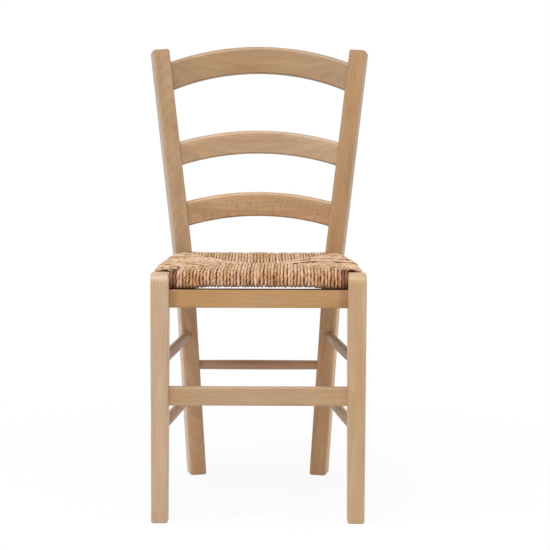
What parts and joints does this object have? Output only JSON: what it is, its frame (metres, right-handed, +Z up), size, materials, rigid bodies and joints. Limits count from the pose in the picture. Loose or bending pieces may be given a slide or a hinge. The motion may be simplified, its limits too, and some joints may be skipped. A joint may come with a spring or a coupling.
{
  "type": "ladderback chair",
  "caption": "Upright dining chair with a slatted back, square front legs, bent rear posts, round stretchers and a woven rush seat.",
  "frame": {"origin": "on the floor, under the middle of the chair's overall width and depth", "axes": "+Z up, -Y towards the front of the chair, +X towards the right when facing its front"},
  "size_m": [0.4442, 0.4785, 0.8776],
  "materials": {
    "beech": "satin clear lacquer",
    "rush": "twisted natural rush, matt to satin",
    "stuffing": "packed dry rush ends"
  },
  "bodies": {
    "root": {"front_leg_left": "beech", "front_leg_right": "beech", "rear_post_left": "beech", "rear_post_right": "beech", "top_slat": "beech", "middle_slat": "beech", "lower_slat": "beech", "front_apron": "beech", "front_stretcher": "beech", "rear_stretcher": "beech", "upper_side_stretcher_left": "beech", "upper_side_stretcher_right": "beech", "lower_side_stretcher_left": "beech", "lower_side_stretcher_right": "beech", "seat_rail_front": "beech", "seat_rail_rear": "beech", "seat_rail_left": "beech", "seat_rail_right": "beech", "rush_seat": "rush", "seat_stuffing": "stuffing"}
  },
  "joints": []
}
